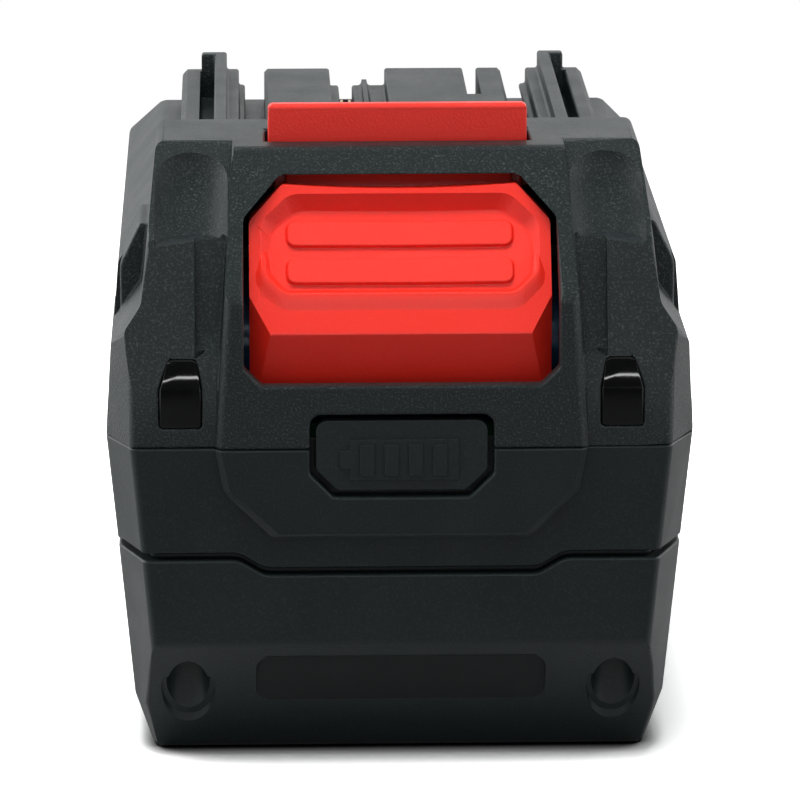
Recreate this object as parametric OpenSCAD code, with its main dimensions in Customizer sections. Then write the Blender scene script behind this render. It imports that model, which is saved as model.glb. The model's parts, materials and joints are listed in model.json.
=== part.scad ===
// Slide-on battery pack for a cordless power tool.
// X runs across the pack, -Y is the front with the release button, +Z is up, and the
// origin is the middle of the base.

/* [Cells] */
// Diameter of one round cell
cell_d = 18.4; // [15.3:0.1:22.1]
// Length of one round cell
cell_len = 65; // [54:1:78]
// Space between neighbouring cells
cell_gap = 0.8; // [0.6:0.1:1.6]
// Clearance between a cell and its pocket in the holder
pocket_clear = 0.15; // [0.1:0.05:0.3]
// Depth of the holder along a cell
holder_depth = 10.5; // [8:0.5:12]
// Thickness of a bus strip
strip_t = 0.3; // [0.2:0.05:0.4]
// Thickness of an insulation sheet
sheet_t = 0.4; // [0.3:0.05:0.5]
// Thickness of the foam pads under the cells
pad_t = 5.5; // [4.6:0.1:6.6]

/* [Case] */
// Wall of the moulded cases
wall = 2.5; // [2:0.1:3]
// Room between the cell ends and the case wall
side_room = 5; // [4.2:0.1:6]
// Room in front of the cells for the latch and the gauge
front_bay = 12; // [11:0.5:15]
// Room behind the cells for the rear screw columns
rear_bay = 7.8; // [7.4:0.2:10]
// Room above the cells for the protection board
board_bay = 6; // [5.6:0.2:8]
// Height of the tray's rim
tray_h = 29.9; // [24.9:0.1:35.9]
// Height of the joint between the middle case and the top cover
part_h = 45.7; // [43:0.1:48.5]
// Height of the deck above the shoulders
head_rise = 10.5; // [9.5:0.5:12.5]
// Gap shown between the tray and the middle case
reveal = 1; // [0.6:0.1:1.2]
// How far the front panel stands proud of the corners
panel_proud = 1.2; // [1:0.1:1.6]

/* [Slide rails] */
// Width over the rails
rail_w = 60.2; // [56:0.2:62]
// Length of the rails behind the head
rail_len = 68; // [56:1:72]
// How far the rails' tops lie below the deck
rail_drop = 3; // [2:0.5:3.5]
// Width of the terminal block between the rails
block_w = 35.6; // [34:0.2:37]

/* [Release latch] */
// Width of the thumb button
button_w = 40.8; // [36:0.2:41]
// Gap round the thumb button
button_gap = 0.8; // [0.5:0.1:1]
// Width of the catch bar
catch_w = 35.4; // [30:0.2:38]
// Height of the catch bar above the deck
catch_h = 5; // [4.2:0.1:5]
// Downward travel of the latch
latch_travel = 4.8; // [4:0.1:4.8]
// Mean radius of a latch spring
spring_r = 2; // [1.8:0.1:2.2]
// Wire diameter of a latch spring
spring_wire = 0.6; // [0.5:0.05:0.7]
// Turns of a latch spring
spring_turns = 6; // [5:1:7]

/* [Fuel gauge] */
// Width of the gauge button's window
gauge_w = 24.8; // [22:0.2:26]
// Height of the gauge button's window
gauge_h = 11.4; // [10.6:0.2:11.6]
// Gap round the gauge button
gauge_gap = 0.8; // [0.5:0.1:1]
// Inward travel of the gauge button
gauge_travel = 0.5; // [0.3:0.1:0.5]

/* [Screws] */
// Radius of a screw well in the tray
well_r = 3; // [2.6:0.1:3.2]
// Radius of a case screw's shank
screw_r = 1.4; // [1.2:0.1:1.5]
// Clearance round a screw
screw_clear = 0.2; // [0.15:0.05:0.3]

/* [Hidden] */
$fn = 48;
eps = 0.01;
// Cells along the pack and layers of them, as the bus strips join them
cell_cols = 5;
cell_rows = 3;
// Overall sizes, worked out from the cells outwards
half_w = cell_len / 2 + side_room + wall;
cells_l = cell_cols * cell_d + (cell_cols - 1) * cell_gap;
case_l = 2 * wall + front_bay + cells_l + rear_bay;
yf = -case_l / 2;
yr = case_l / 2;
cell_bed = wall + pad_t;
cells_top = cell_bed + cell_rows * cell_d + (cell_rows - 1) * cell_gap;
roof_z = cells_top + board_bay;
shoulder_h = roof_z + wall;
deck_h = shoulder_h + head_rise;
rail_top = deck_h - rail_drop;

// Front of the case: corners, panel and the slope under the deck
y_corner = yf + panel_proud;
facet_w = 3.6;
facet_l = 8;
panel_top_w = 45.2;
panel_mid_w = 50.4;
panel_low_w = 34.6;
panel_side_w = 48;
panel_side_drop = 6.2;
panel_foot_drop = 12.7;
panel_edge = 0.8;
slope_l = 17.2;
slope_h = 17.5;
crease_z = deck_h - slope_h;
deck_y0 = yf + slope_l;
deck_y1 = deck_y0 + 20;
panel_inner = yf + wall;
bay_half = button_w / 2 + button_gap + 0.8;

// Corners of the head: leaning faces, ledge and scoop
corner_crease = part_h + 8;
ledge_z = deck_h - 10.8;
ledge_y = y_corner + 5.5;
scoop_top_y = deck_y0 + 4.6;
scoop_r = 6;
scoop_depth = 2.6;
scoop_l = 11.4;
scoop_x = half_w - 11.8;
channel_x = half_w - 12.2;
channel_depth = 2.2;
head_top_half = half_w - 7;
head_mid_half = half_w - 5;
head_foot_z = cells_top - cell_d / 2 + 3.1;

// Tray
tray_chamfer_h = 8;
tray_base_inset = 6;
tray_side_inset = 3.5;
tray_rim_inset = 1.5;
tray_front_inset = 0.2;
tray_slope_h = 18;
tray_slope_y = yf + 12.9;
plate_w = 39.6;
plate_h = 7.4;
plate_depth = 0.9;
step_drop = 2.1;
step_top_w = 44.2;
step_low_w = 37.2;

// Screw columns
screw_x = half_w - 10.9;
screw_front_y = yf + 6.2;
column_r = well_r + 0.7;
screw_rear_y = yr - wall - column_r + 0.4;
well_top = 19.8;
well_ring = 0.7;
well_ring_t = 0.7;
well_ring_top = 12.5;
head_r = well_r - 0.3;
head_t = 2;
pilot_depth = 11;

// Latch
sill_z = part_h + 8.7;
lintel_z = deck_h - 3.3;
latch_front = panel_inner + 0.6;
latch_low = sill_z - 1.5;
latch_lip_z = deck_h - 22.9;
latch_back = latch_front + 10.8;
latch_top = lintel_z - 1.2;
latch_wall = 3;
latch_corner = 2.8;
thumb_top_y = latch_front + 11.2;
thumb_bevel = 4.6;
arm_top = deck_h - wall - 0.3;
arm_t = 4.4;
arm_low = arm_top - arm_t;
arm_y1 = deck_y1 - wall - 0.5;
wing_half = head_top_half - 5;
wing_y0 = arm_y1 - 10;
catch_y = deck_y0 + 4.3;
catch_l = 8;
catch_crown = 1.6;
catch_gap = 0.4;
spring_x = cell_len / 2 - holder_depth + 3.6;
spring_y = (wing_y0 + arm_y1) / 2;
spring_post_r = 1.2;
latch_lean = 1.6;
saddle_r = 210;
saddle_dip = 0.7;
pocket_r = 600;
pocket_lean = -8.5;
pocket_depth = 1;
pocket_rim = 1.5;
pocket_sink = 4;
bar_w = 30.6;
bar_h = 3.8;
bar_downs = [6.9, 12.5];
bar_root = 3;
bar_rise = 0.7;

// Cells, holders and board
cell_r = cell_d / 2;
holder_x0 = cell_len / 2 - holder_depth;
holder_y0 = yf + wall + front_bay - 1.6;
holder_y1 = yf + wall + front_bay + cells_l + 0.6;
holder_z0 = cell_bed + 2.6;
board_z = cells_top + 1.8;
board_t = 1.6;
board_half = holder_x0 + 5;
board_nose = holder_x0 + 0.6;
board_y0 = wing_y0 + 1.3;
board_neck_y = arm_y1 + 1;
board_top = board_z + board_t;
tab_w = 3.2;
board_y1 = yf + wall + front_bay + cells_l - cell_r * 0.6 + tab_w / 2 + 0.6;
board_screw_r = 0.9;
board_screw_x = holder_x0 + 2.6;
board_screw_l = 5;
board_screw_gaps = [1, 3];
lead_run = 14;
strip_reach = 5.5;
strip_rise = 2.8;
cap_r = 6;
bead_r = 1.4;
chip_t = 1.8;

// Rails and terminal block, from the mid-plane outwards
rail_y1 = deck_y1 + rail_len;
rail_half = rail_w / 2;
fin_t = 2.7;
slot_w = 2.2;
rib_t = 1.8;
step_t = 1.8;
lip_t = 0.9;
fin_top = rail_top - 2.6;
lip_top = rail_top - 5;
slot_floor = shoulder_h + 0.6;
undercut_h = 1.5;
undercut_d = 1.5;
block_top = rail_top - 2.4;
block_y1 = rail_y1 - 1;
contact_x = [-13, 6, 13.1, -5.6];
contact_t = 1.6;
contact_gap = 0.2;
contact_l = 20;

// Gauge
gauge_z = part_h - 1;
gauge_cut = 3.2;
gauge_face = yf + 0.4;
gauge_back = panel_inner - 0.4;
stem_z = gauge_z - 4.6;
switch_front = panel_inner + 3.6;
plunger_y = switch_front - gauge_travel - 0.4;
plunger_l = 1.5;
plunger_r = 0.9;
lamp_x0 = -4.6;
lamp_pitch = 3.2;
lamp_t = 0.8;
gauge_board_y = switch_front + 1.6;
gauge_board_half = 18.6;
gauge_board_t = 1;
gauge_board_z0 = gauge_z - 9.4;
gauge_board_z1 = latch_low - latch_travel - 0.8;
post_x = 16.7;
post_z = gauge_z - 5.4;
post_r = 1.7;
pilot_l = 4;
small_screw_r = 0.8;

// Corner inserts
insert_w = 5.6;
insert_x = half_w - 7.4 - insert_w;
insert_low = part_h + 2.8;
insert_top = part_h + 12;
insert_t = 1;
insert_clear = 0.08;

cell_names = [for (r = [0 : cell_rows - 1]) for (c = [0 : cell_cols - 1]) str("cell_", r + 1, "_", c + 1)];
strip_names = ["bus_strip_left_front", "bus_strip_left_middle", "bus_strip_left_rear",
    "bus_strip_right_front", "bus_strip_right_middle", "bus_strip_right_rear"];
contact_names = ["contact_positive", "contact_negative", "contact_signal", "contact_thermistor"];

case_black = "#262a2c";
latch_red = "#e2281c";

// Points of the arc that rounds the corner b between a and c
function corner_arc(a, b, c, r, n) =
    r <= 0 ? [b] :
    let (u = (a - b) / norm(a - b), v = (c - b) / norm(c - b))
    let (half = acos(max(-1, min(1, u * v))) / 2, m = (u + v) / norm(u + v))
    let (centre = b + m * r / sin(half), p = b + u * r / tan(half), q = b + v * r / tan(half))
    let (a0 = atan2(p.y - centre.y, p.x - centre.x), a1 = atan2(q.y - centre.y, q.x - centre.x))
    let (turn = a1 - a0 > 180 ? a1 - a0 - 360 : a1 - a0 < -180 ? a1 - a0 + 360 : a1 - a0)
    [for (i = [0 : n]) centre + r * [cos(a0 + turn * i / n), sin(a0 + turn * i / n)]];

// An outline with its corners rounded to the radii given
function rounded(pts, radii, n = 6) =
    let (k = len(pts))
    [for (i = [0 : k - 1]) each corner_arc(pts[(i + k - 1) % k], pts[i], pts[(i + 1) % k], radii[i], n)];

// Plan of the case, drawn in from the sides and rear by side and from the front by front
function plan(side, front) = rounded([
    [-half_w + facet_w + side, y_corner + front],
    [half_w - facet_w - side, y_corner + front],
    [half_w - side, y_corner + facet_l + side],
    [half_w - side, yr - side],
    [-half_w + side, yr - side],
    [-half_w + side, y_corner + facet_l + side]], [1.4, 1.4, 4, 7, 7, 4]);

// Solid between two plans that have the same number of points
module loft(low, z0, high, z1) {
    n = len(low);
    points = concat([for (p = low) [p.x, p.y, z0]], [for (p = high) [p.x, p.y, z1]]);
    base = [[for (i = [0 : n - 1]) i]];
    top = [[for (i = [n - 1 : -1 : 0]) n + i]];
    sides = [for (i = [0 : n - 1]) let (j = (i + 1) % n) each [[i, n + i, n + j], [i, n + j, j]]];
    polyhedron(points, concat(base, top, sides));
}

// A profile drawn in Y and Z, extruded across the pack between two X values
module across(pts, x0, x1) {
    translate([x0, 0, 0]) rotate([90, 0, 90]) linear_extrude(x1 - x0) polygon(pts);
}

// A profile drawn in X and Z, extruded along the pack between two Y values
module along(pts, y0, y1) {
    translate([0, y1, 0]) rotate([90, 0, 0]) linear_extrude(y1 - y0) polygon(pts);
}

// A box between two corners
module box(low, high) {
    translate(low) cube(high - low);
}

// The same shape on both sides of the mid-plane
module both_sides() {
    children();
    mirror([1, 0, 0]) children();
}

// Something at each of the four screw columns
module at_screws() {
    for (x = [-screw_x, screw_x], y = [screw_front_y, screw_rear_y]) translate([x, y, 0]) children();
}

// Front face of the tray's lower slope at height z
function slope_y(z) = tray_slope_y + (y_corner + tray_front_inset - tray_slope_y) * z / tray_slope_h;

// Front face of a leaning corner of the head at height z
function corner_y(z) =
    y_corner + (ledge_y - y_corner) * max(0, z - corner_crease) / (ledge_z - corner_crease);

// Everything in front of the tray's lower slope, moved back by depth
module front_slope(depth) {
    across([[yf - 9, -1], [slope_y(-1) + depth, -1], [slope_y(tray_slope_h) + depth, tray_slope_h],
        [yf - 9, tray_slope_h]], -half_w - 1, half_w + 1);
}

// Step in the tray's front rim, raised by lift
function step_outline(lift, top) = [
    [-step_top_w / 2, tray_h + top], [-step_top_w / 2, tray_h + lift],
    [-step_low_w / 2, tray_h - step_drop + lift], [step_low_w / 2, tray_h - step_drop + lift],
    [step_top_w / 2, tray_h + lift], [step_top_w / 2, tray_h + top]];

module tray_outside() {
    rim = plan(tray_rim_inset, tray_front_inset);
    waist = plan(tray_side_inset, tray_front_inset);
    loft(plan(tray_base_inset, tray_front_inset), 0, waist, tray_chamfer_h);
    loft(waist, tray_chamfer_h, rim, tray_h);
}

module tray_inside() {
    inner = tray_front_inset + wall;
    waist = plan(tray_side_inset + wall, inner);
    floor_inset = tray_base_inset + wall - (tray_base_inset - tray_side_inset) * wall / tray_chamfer_h;
    difference() {
        union() {
            loft(plan(floor_inset, inner), wall, waist, tray_chamfer_h);
            loft(waist, tray_chamfer_h, plan(tray_rim_inset + wall, inner), tray_h);
            translate([0, 0, tray_h - eps]) linear_extrude(1) polygon(plan(tray_rim_inset + wall, inner));
        }
        front_slope(wall);
    }
}

// Bare sunk plate in the tray's front slope, deepest along its top edge
module plate_recess() {
    top = tray_slope_h - 2.2;
    low = top - plate_h;
    intersection() {
        across([[slope_y(low), low], [slope_y(top) + plate_depth, top], [yf - 3, top], [yf - 3, low]],
            -plate_w / 2, plate_w / 2);
        along(rounded([[-plate_w / 2, low - 2], [plate_w / 2, low - 2], [plate_w / 2, top],
            [-plate_w / 2, top]], [0.5, 0.5, 2, 2]), yf - 3, yf + 9);
    }
}

// Sunk ring round each front screw well
module well_rings() {
    intersection() {
        front_slope(well_ring_t);
        both_sides() translate([screw_x, screw_front_y, -1])
            cylinder(r = well_r + well_ring, h = well_ring_top + 1);
    }
}

module bottom_tray() {
    color(case_black) difference() {
        union() {
            difference() {
                tray_outside();
                tray_inside();
                front_slope(0);
            }
            difference() {
                intersection() {
                    at_screws() cylinder(r = column_r, h = tray_h);
                    tray_outside();
                }
                front_slope(0);
            }
        }
        well_rings();
        at_screws() translate([0, 0, -1]) cylinder(r = well_r, h = well_top + 1);
        at_screws() cylinder(r = screw_r + screw_clear, h = tray_h + 1);
        along(step_outline(0, 1), yf - 1, y_corner + tray_front_inset + wall + 1);
        plate_recess();
    }
}

// Front panel below the deck, drawn in by edge at its face
function panel_outline(edge) = [
    [-panel_low_w / 2 + edge, part_h - panel_foot_drop + edge],
    [panel_low_w / 2 - edge, part_h - panel_foot_drop + edge],
    [panel_side_w / 2 - edge, part_h - panel_side_drop + edge / 2], [panel_mid_w / 2 - edge, part_h],
    [panel_top_w / 2 - edge, deck_h], [-panel_top_w / 2 + edge, deck_h],
    [-panel_mid_w / 2 + edge, part_h], [-panel_side_w / 2 + edge, part_h - panel_side_drop + edge / 2]];

// The panel's raised body, with a bevel round its face
module panel_body() {
    rotate([90, 0, 0]) {
        loft(panel_outline(0), -deck_y1, panel_outline(0), -yf - panel_edge);
        loft(panel_outline(0), -yf - panel_edge, panel_outline(panel_edge), -yf);
    }
}

// Window of the gauge button, drawn in by gap
function gauge_outline(gap) =
    let (x = gauge_w / 2 - gap, low = gauge_z - gauge_h / 2 + gap, top = gauge_z + gauge_h / 2 - gap)
    let (cut = gauge_cut - gap * 0.4)
    rounded([[-x + cut, low], [x - cut, low], [x, low + cut], [x, top], [-x, top], [-x, low + cut]],
        [1, 1, 1, 1.6, 1.6, 1]);

// The middle case and the foot of its front step, as one leaning body
module middle_outside() {
    low = tray_h - step_drop;
    lean = (part_h - low) / (part_h - tray_h);
    loft(plan(tray_rim_inset * lean, tray_front_inset * lean), low, plan(0, 0), part_h);
}

// Room of the tray and of the wide groove that shows above it, without the step in the front rim
module reveal_groove() {
    outer_y = y_corner + tray_front_inset;
    difference() {
        box([-half_w - 1, yf - 1, tray_h - step_drop - 1], [half_w + 1, yr + 1, tray_h + reveal]);
        translate([0, 0, tray_h]) linear_extrude(reveal + 1)
            polygon(plan(tray_rim_inset + wall / 2, tray_front_inset + wall / 2));
        along(step_outline(reveal, reveal + 1), yf - 2, outer_y + wall);
        along(step_outline(0, reveal + 1), outer_y + wall / 2, outer_y + wall);
    }
}

module gauge_posts() {
    for (x = [-post_x, post_x]) translate([x, panel_inner - eps, post_z])
        rotate([-90, 0, 0]) cylinder(r = post_r, h = gauge_board_y - panel_inner + eps);
}

module middle_case() {
    color(case_black) difference() {
        union() {
            difference() {
                union() {
                    difference() {
                        middle_outside();
                        reveal_groove();
                    }
                    intersection() {
                        panel_body();
                        box([-half_w, yf - 1, 0], [half_w, y_corner + wall, part_h]);
                    }
                }
                loft(plan(tray_rim_inset + wall, tray_front_inset + wall), tray_h - 5,
                    plan(wall, wall), part_h + eps);
                box([-bay_half, panel_inner, part_h - panel_foot_drop + wall],
                    [bay_half, y_corner + wall + 1, part_h + 1]);
            }
            difference() {
                intersection() {
                    at_screws() translate([0, 0, tray_h]) cylinder(r = column_r, h = part_h - tray_h);
                    middle_outside();
                }
                reveal_groove();
            }
            gauge_posts();
        }
        at_screws() cylinder(r = screw_r + screw_clear, h = part_h + 1);
        along(gauge_outline(0), yf - 1, panel_inner + 1);
        for (x = [-post_x, post_x]) translate([x, gauge_board_y - pilot_l, post_z])
            rotate([-90, 0, 0]) cylinder(r = small_screw_r + 0.05, h = pilot_l + 1);
    }
}

// Outline of the head across the pack
function head_outline() = rounded([
    [-half_w, part_h], [half_w, part_h], [half_w - 0.8, head_foot_z], [head_mid_half, head_foot_z + 6],
    [head_top_half, deck_h], [-head_top_half, deck_h], [-head_mid_half, head_foot_z + 6],
    [-half_w + 0.8, head_foot_z]], [0, 0, 2, 3, 1.2, 1.2, 3, 2]);

// Outline of the shoulders over the cells, drawn in by depth
function shoulder_outline(depth) =
    let (low = half_w - depth, mid = half_w - 1.6 - depth, top = half_w - 6.8 - depth * 0.7)
    rounded([[-low, part_h - depth], [low, part_h - depth], [mid, shoulder_h - 6.5 - depth * 0.6],
        [top, shoulder_h - depth], [-top, shoulder_h - depth], [-mid, shoulder_h - 6.5 - depth * 0.6]],
        [0, 0, 3, 2, 2, 3]);

// Inside of the panel wall, from the parting line up to the deck
function latch_bay_profile() = [
    [panel_inner, part_h - 1], [panel_inner, crease_z - wall * 0.4], [deck_y0 + wall * 0.4, deck_h - wall],
    [deck_y1 - wall, deck_h - wall], [deck_y1 - wall, part_h - 1]];

// Outline of the button's window, grown by gap
function button_outline(gap, low) =
    let (x = button_w / 2 + gap, top = latch_top + gap * 1.5, cut = thumb_bevel + gap * 0.4)
    rounded([[-x + 2.4, low], [x - 2.4, low], [x, low + 2.4], [x, top - cut], [x - cut, top],
        [-x + cut, top], [-x, top - cut], [-x, low + 2.4]], [1, 1, 1, 1.4, 1.4, 1.4, 1.4, 1]);

module head_corners() {
    profile = [[y_corner, part_h], [y_corner, corner_crease], [ledge_y, ledge_z], [scoop_top_y, deck_h],
        [deck_y1, deck_h], [deck_y1, part_h]];
    intersection() {
        along(head_outline(), yf, deck_y1);
        across(profile, -half_w, half_w);
        translate([0, 0, part_h]) linear_extrude(deck_h) polygon(plan(0, 0));
    }
}

// Round scoop up a corner of the head, with a round end below the deck
module scoop() {
    run = [scoop_top_y - ledge_y, deck_h - ledge_z];
    tilt = atan2(run.x, run.y);
    lift = scoop_r - scoop_depth;
    intersection() {
        translate([scoop_x, ledge_y - lift * cos(tilt), ledge_z + lift * sin(tilt)]) rotate([-tilt, 0, 0]) {
            translate([0, 0, -scoop_r]) cylinder(r = scoop_r, h = scoop_l + scoop_r);
            translate([0, 0, scoop_l]) sphere(r = scoop_r);
        }
        box([0, yf - 20, ledge_z], [half_w, yr, deck_h + 40]);
    }
}

// Dark channel between the front panel and a lower corner
module corner_channel() {
    low = part_h + 12;
    across([[yf - 1, low + 2], [corner_y(low) + 0.4, low], [corner_y(low + 2.5) + channel_depth, low + 2.5],
        [ledge_y + channel_depth, ledge_z + 0.5], [yf - 1, ledge_z + 0.5]], panel_top_w / 2 - 1, channel_x);
}

// Slab that follows a corner's front face, from skin in front of it to depth behind it
module insert_band(skin, depth, grow) {
    low = insert_low - grow;
    top = insert_top + grow;
    intersection() {
        across([[y_corner - skin, low], [y_corner + depth, low], [y_corner + depth, corner_crease],
            [corner_y(top) + depth, top], [corner_y(top) - skin, top], [y_corner - skin, corner_crease]],
            insert_x - grow, insert_x + insert_w + grow);
        along(rounded([[insert_x - grow, low], [insert_x + insert_w + grow, low],
            [insert_x + insert_w + grow, corner_crease], [insert_x + insert_w - 1.2 + grow, top],
            [insert_x + 0.6 - grow, top], [insert_x - grow, corner_crease]], [0.5, 0.5, 0, 0.8, 0.8, 0]),
            yf - 5, yf + 20);
    }
}

// Half of the rail profile: outer fin, slot, tall rib, step and lip over its undercut
function rail_outline() =
    let (x4 = rail_half, x3 = x4 - fin_t, x2 = x3 - slot_w)
    let (x1 = x2 - rib_t, x0 = x1 - step_t, xi = x0 - lip_t)
    [[xi + undercut_d, shoulder_h - 1], [x4, shoulder_h - 1], [x4, fin_top - 0.8], [x4 - 0.8, fin_top],
        [x3, fin_top], [x3, slot_floor], [x2, slot_floor], [x2, rail_top], [x1, rail_top], [x1, fin_top],
        [x0, fin_top], [x0, lip_top], [xi, lip_top], [xi, shoulder_h + undercut_h],
        [xi + undercut_d, shoulder_h + undercut_h]];

module rail() {
    x2 = rail_half - fin_t - slot_w;
    along(rail_outline(), deck_y1 - 1, rail_y1);
    box([x2 - rib_t, rail_y1 - 2.4, shoulder_h - 1], [rail_half - fin_t + 1, rail_y1, fin_top + eps]);
    box([x2 - rib_t, rail_y1 - 2.4, shoulder_h - 1], [rail_half - fin_t - 0.2, rail_y1, rail_top]);
}

// Profile of the terminal block with the dip between its two raised lands
function block_outline() =
    let (x = block_w / 2, low = shoulder_h - 1, dip = block_top - 2.6)
    [[-x, low], [x, low], [x, block_top - 0.5], [x - 0.5, block_top], [0.3, block_top], [0.3, dip],
        [-2.2, dip], [-2.4, dip + 0.9], [-3.1, dip + 0.9], [-3.3, dip], [-8, dip], [-8, block_top],
        [-x + 0.5, block_top], [-x, block_top - 0.5]];

module ear() {
    outer = half_w - 1.9;
    top = shoulder_h - 0.9;
    along([[outer - 8, head_foot_z + 1], [outer, head_foot_z + 1], [outer, top - 5.6], [outer - 2.7, top],
        [outer - 8, top]], deck_y0 + 4, deck_y0 + 17);
}

// Head and shoulders without their details
module cover_body() {
    head_corners();
    intersection() {
        along(shoulder_outline(0), deck_y0 + 6, yr);
        translate([0, 0, part_h]) linear_extrude(deck_h) polygon(plan(0, 0));
    }
}

// Everything above the bevel across the rear of the shoulders, moved inwards by depth
module rear_bevel(depth) {
    low = [yr, shoulder_h - 9] - depth * [0.54, 0.84];
    high = [yr - 14, shoulder_h] - depth * [0.54, 0.84];
    end = low + (low - high) * 0.3;
    across([high, [high.x, shoulder_h + 5], [yr + 9, shoulder_h + 5], [yr + 9, end.y], end],
        -half_w - 1, half_w + 1);
}

module cover_outside() {
    difference() {
        union() {
            cover_body();
            both_sides() ear();
        }
        both_sides() scoop();
        both_sides() corner_channel();
        rear_bevel(0);
    }
    intersection() {
        panel_body();
        across([[yf, part_h], [yf, crease_z], [deck_y0, deck_h], [deck_y1, deck_h], [deck_y1, part_h]],
            -half_w, half_w);
    }
    both_sides() rail();
    along(block_outline(), deck_y1 - 1, block_y1);
}

module cover_inside() {
    front = holder_y0 - 0.5;
    neck = head_mid_half - wall + 0.3;
    along([[-half_w + wall, part_h - 1], [half_w - wall, part_h - 1],
        [half_w - wall - 0.6, head_foot_z - 2.5], [neck, head_foot_z + 1.2], [neck, board_z + 0.4],
        [-neck, board_z + 0.4], [-neck, head_foot_z + 1.2],
        [-half_w + wall + 0.6, head_foot_z - 2.5]], front, wing_y0 + 1);
    difference() {
        intersection() {
            along(shoulder_outline(wall), wing_y0, yr - wall);
            translate([0, 0, part_h - 5]) linear_extrude(deck_h) polygon(plan(wall, wall));
        }
        rear_bevel(wall);
    }
    across(latch_bay_profile(), -bay_half, bay_half);
    box([-wing_half - 0.6, wing_y0 - 0.6, board_z - 1], [wing_half + 0.6, arm_y1 + 0.5, deck_h - wall]);
}

module top_cover() {
    color(case_black) difference() {
        union() {
            difference() {
                cover_outside();
                cover_inside();
            }
            intersection() {
                at_screws() translate([0, 0, part_h]) cylinder(r = column_r, h = pilot_depth + 2);
                cover_body();
            }
        }
        at_screws() translate([0, 0, part_h - 1]) cylinder(r = screw_r + 0.05, h = pilot_depth + 1);
        along(gauge_outline(0), yf - 1, panel_inner + 1);
        along(button_outline(button_gap, sill_z), yf - 1, deck_y0 + 0.5);
        box([-catch_w / 2 - catch_gap, catch_y - catch_gap, deck_h - wall - 1],
            [catch_w / 2 + catch_gap, catch_y + catch_l + catch_gap, deck_h + 1]);
        both_sides() insert_band(2, insert_t + insert_clear, insert_clear);
        for (i = [0 : len(contact_x) - 1]) contact_slot(i);
    }
}

// Slot in the terminal block that a tool blade enters from the rear
module contact_slot(i) {
    half = contact_t / 2 + contact_gap;
    top = i < 2 ? block_top - 1.4 : block_top + 1;
    x = contact_x[i];
    box([x - half, block_y1 - contact_l - 1, roof_z - 1], [x + half, block_y1 + 1, top]);
}

// Thumb face of the latch, from its lip up to its top edge, and a point at a distance down it
thumb_low = [latch_front, latch_lip_z];
thumb_high = [thumb_top_y, latch_top];
thumb_dir = (thumb_high - thumb_low) / norm(thumb_high - thumb_low);
function thumb_at(down) = thumb_high - thumb_dir * down;

module thumb_cap() {
    x = button_w / 2;
    inner = latch_wall / thumb_dir.y;
    difference() {
        intersection() {
            across(rounded([[latch_front + latch_lean, latch_low], [latch_front, latch_lip_z], thumb_high,
                [latch_back + 1.5, latch_top], [latch_back + 1.5, latch_top - 5], [latch_back, latch_top - 7],
                [latch_back, latch_low]], [0, 0.6, 0.9, 0.4, 0, 0, 0]), -x, x);
            along(button_outline(0, latch_low - 3), yf, deck_y1);
            translate([0, 0, part_h]) linear_extrude(deck_h) polygon([[-x + latch_corner, latch_front],
                [x - latch_corner, latch_front], [x, latch_front + latch_corner], [x, deck_y1], [-x, deck_y1],
                [-x, latch_front + latch_corner]]);
        }
        across([[latch_front + latch_lean + latch_wall, latch_low - 1],
            [latch_front + latch_wall, latch_lip_z - 1],
            thumb_at(4) + [inner, 0], [latch_back + 3, thumb_at(4).y], [latch_back + 3, latch_low - 1]],
            -x + latch_wall, x - latch_wall);
        thumb_dish();
        translate([0, yf, latch_top - saddle_dip + saddle_r]) rotate([-90, 0, 0])
            cylinder(r = saddle_r, h = case_l / 2, $fn = 360);
    }
}

// Things drawn flat on the thumb face, with Y up the face and Z out of it, at a distance down it
module on_thumb(down) {
    p = thumb_at(down);
    translate([0, p.x, p.y]) rotate([atan2(thumb_dir.y, thumb_dir.x), 0, 0]) children();
}

// Wide hollow across the thumb face, deepest at its top edge
module thumb_hollow(depth) {
    on_thumb(10.5) rotate([pocket_lean - 90, 0, 0]) translate([0, depth - pocket_r, -40])
        cylinder(r = pocket_r, h = 80, $fn = 360);
}

// Outline of the sunk field on the thumb face, drawn in by edge
function pocket_outline(edge) =
    let (x = button_w / 2 - edge, cut = thumb_bevel - edge * 0.4)
    [[-x, -19], [x, -19], [x, -cut - edge], [x - cut, -edge], [-x + cut, -edge], [-x, -cut - edge]];

// Sunk field round the grip bars, with sloping walls; it runs out towards the lip
module thumb_dish() {
    intersection() {
        thumb_hollow(pocket_depth);
        on_thumb(0) loft(pocket_outline(pocket_rim + pocket_sink), -pocket_sink,
            pocket_outline(pocket_rim - 1), 1);
    }
}

// Grip bar across the thumb face
module grip_bar(down) {
    x = bar_w / 2;
    y = bar_h / 2;
    difference() {
        on_thumb(down) translate([0, 0, -bar_root]) linear_extrude(bar_root + bar_rise)
            polygon(rounded([[-x, -y], [x, -y], [x, y], [-x, y]], [1.2, 1.2, 1.2, 1.2]));
        thumb_hollow(pocket_depth - bar_rise);
    }
}

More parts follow.
